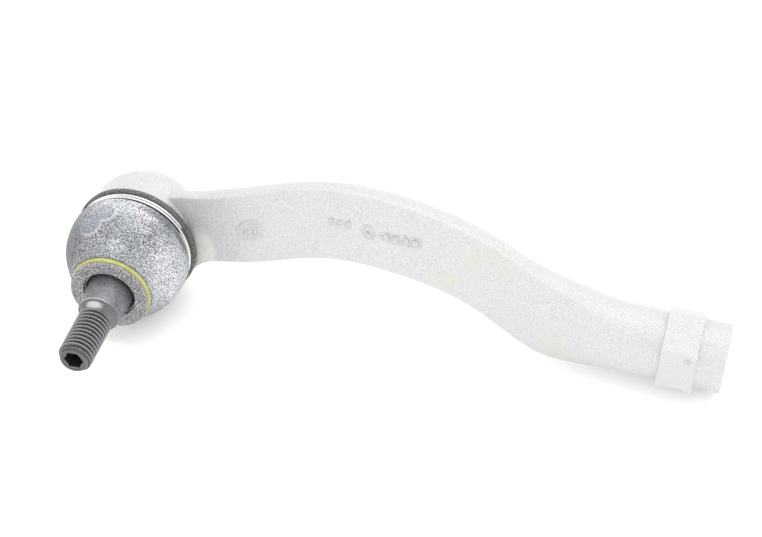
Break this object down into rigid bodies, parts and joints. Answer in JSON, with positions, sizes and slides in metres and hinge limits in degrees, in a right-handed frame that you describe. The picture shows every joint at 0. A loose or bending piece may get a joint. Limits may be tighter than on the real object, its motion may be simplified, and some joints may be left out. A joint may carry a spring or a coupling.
{
  "type": "tie rod end",
  "caption": "Curved alloy tie rod end with a booted ball stud at one end and a threaded socket at the other.",
  "frame": {"origin": "centre of the ball", "axes": "+X along the threaded socket's axis to its open end, -Y out of the ball joint's mouth, +Z to the side the arm bows to"},
  "size_m": [0.2356, 0.0928, 0.0648],
  "materials": {
    "forged_alloy": "blasted forging, matte",
    "seat_plastic": "moulded acetal",
    "grease": "lithium grease",
    "ring_steel": "pressed steel",
    "stud_steel": "dark phosphated steel",
    "boot_rubber": "moulded rubber with a pale bloom",
    "yellow_ring": "yellow moulded ring",
    "wire_steel": "drawn spring wire"
  },
  "bodies": {
    "housing": {"forged_housing": "forged_alloy", "ball_seat": "seat_plastic", "bearing_grease": "grease", "closing_ring": "ring_steel", "boot_retaining_wire": "wire_steel"},
    "boot": {"boot": "boot_rubber"},
    "boot_neck": {"boot_neck_ring": "yellow_ring", "boot_neck_insert": "ring_steel"},
    "ball_stud": {"ball_stud": "stud_steel"}
  },
  "joints": [
    {"name": "stud_heading", "type": "hinge", "parent": "housing", "child": "boot", "pos_m": [0, 0, 0], "axis": [0, -1, 0], "continuous": true},
    {"name": "stud_swing", "type": "hinge", "parent": "boot", "child": "boot_neck", "pos_m": [0, 0, 0], "axis": [0.8387, 0, 0.5446], "range_deg": [-28.8, 21.2], "deforming": ["boot"]},
    {"name": "stud_spin", "type": "hinge", "parent": "boot_neck", "child": "ball_stud", "pos_m": [0, 0, 0], "axis": [0.0361, -0.9978, -0.0556], "continuous": true}
  ]
}
